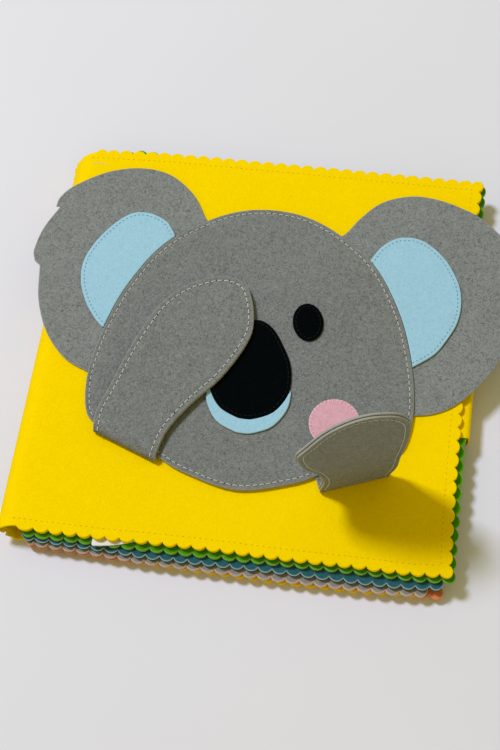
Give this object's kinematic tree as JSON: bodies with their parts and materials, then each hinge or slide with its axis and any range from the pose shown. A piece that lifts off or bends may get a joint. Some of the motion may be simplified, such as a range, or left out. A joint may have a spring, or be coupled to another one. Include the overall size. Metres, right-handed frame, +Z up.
{
  "type": "quiet book",
  "caption": "Square felt book with scalloped sheet edges, a folded spine, a fore-edge strap and a koala face on the cover whose felt arms fold over its eyes.",
  "frame": {"origin": "on the underside of the back cover, straight below the middle of the koala's head", "axes": "+X from the spine to the fore-edge, +Y to the top of the cover, +Z up out of the front cover"},
  "size_m": [0.2546, 0.225, 0.1204],
  "materials": {
    "yellow_felt": "matte",
    "green_felt": "matte",
    "teal_felt": "matte",
    "navy_felt": "matte",
    "leaf_grey_felt": "matte",
    "orange_felt": "matte",
    "koala_grey_felt": "matte",
    "light_blue_felt": "matte",
    "black_felt": "matte",
    "pink_felt": "matte",
    "white_ribbon": "matte"
  },
  "bodies": {
    "back_cover": {"back_cover_outer": "yellow_felt", "back_cover_lining": "yellow_felt"},
    "leaf_4": {"leaf_4_front": "orange_felt", "leaf_4_back": "orange_felt"},
    "leaf_3": {"leaf_3_front": "leaf_grey_felt", "leaf_3_back": "leaf_grey_felt"},
    "leaf_2": {"leaf_2_front": "teal_felt", "leaf_2_back": "navy_felt"},
    "leaf_1": {"leaf_1_front": "green_felt", "leaf_1_back": "green_felt", "white_tab": "white_ribbon"},
    "front_cover": {"front_cover_outer": "yellow_felt", "front_cover_lining": "yellow_felt", "head_backing": "koala_grey_felt", "head_front": "koala_grey_felt", "nose": "black_felt", "mouth": "light_blue_felt", "left_eye": "black_felt", "right_eye": "black_felt", "left_cheek": "pink_felt", "right_cheek": "pink_felt", "left_ear_root": "koala_grey_felt", "right_ear_root": "koala_grey_felt", "left_arm_tab": "koala_grey_felt", "right_arm_tab": "koala_grey_felt", "strap_root": "yellow_felt"},
    "left_ear": {"left_ear": "koala_grey_felt", "left_ear_patch": "light_blue_felt"},
    "right_ear": {"right_ear": "koala_grey_felt", "right_ear_patch": "light_blue_felt"},
    "left_arm": {"left_arm_back": "koala_grey_felt", "left_arm_front": "koala_grey_felt"},
    "right_arm": {"right_arm_back": "koala_grey_felt", "right_arm_front": "koala_grey_felt"},
    "closure_strap": {"strap": "yellow_felt"}
  },
  "joints": [
    {"name": "leaf_4_turn", "type": "hinge", "parent": "back_cover", "child": "leaf_4", "pos_m": [-0.113, 0, 0.00935], "axis": [0, -1, 0], "range_deg": [0, 180]},
    {"name": "leaf_3_turn", "type": "hinge", "parent": "leaf_4", "child": "leaf_3", "pos_m": [-0.113, 0, 0.00935], "axis": [0, -1, 0], "range_deg": [0, 180]},
    {"name": "leaf_2_turn", "type": "hinge", "parent": "leaf_3", "child": "leaf_2", "pos_m": [-0.113, 0, 0.00935], "axis": [0, -1, 0], "range_deg": [0, 180]},
    {"name": "leaf_1_turn", "type": "hinge", "parent": "leaf_2", "child": "leaf_1", "pos_m": [-0.113, 0, 0.00935], "axis": [0, -1, 0], "range_deg": [0, 180]},
    {"name": "front_cover_turn", "type": "hinge", "parent": "leaf_1", "child": "front_cover", "pos_m": [-0.113, 0, 0.00935], "axis": [0, -1, 0], "range_deg": [0, 180]},
    {"name": "left_ear_fold", "type": "hinge", "parent": "front_cover", "child": "left_ear", "pos_m": [-0.06778, 0.03394, 0.0231], "axis": [0.4478, 0.8942, 0], "range_deg": [0, 90]},
    {"name": "right_ear_fold", "type": "hinge", "parent": "front_cover", "child": "right_ear", "pos_m": [0.06778, 0.03394, 0.0231], "axis": [0.4478, -0.8942, 0], "range_deg": [0, 90]},
    {"name": "left_arm_fold", "type": "hinge", "parent": "front_cover", "child": "left_arm", "pos_m": [-0.0581, -0.0621, 0.0237], "axis": [0.9361, -0.3518, 0], "range_deg": [0, 180]},
    {"name": "right_arm_fold", "type": "hinge", "parent": "front_cover", "child": "right_arm", "pos_m": [0.05656, -0.06482, 0.0237], "axis": [0.9361, 0.3518, 0], "range_deg": [-90, 90]},
    {"name": "strap_swing", "type": "hinge", "parent": "front_cover", "child": "closure_strap", "pos_m": [0.1093, -0.0135, 0.0171], "axis": [0, -1, 0], "range_deg": [0, 90]}
  ]
}
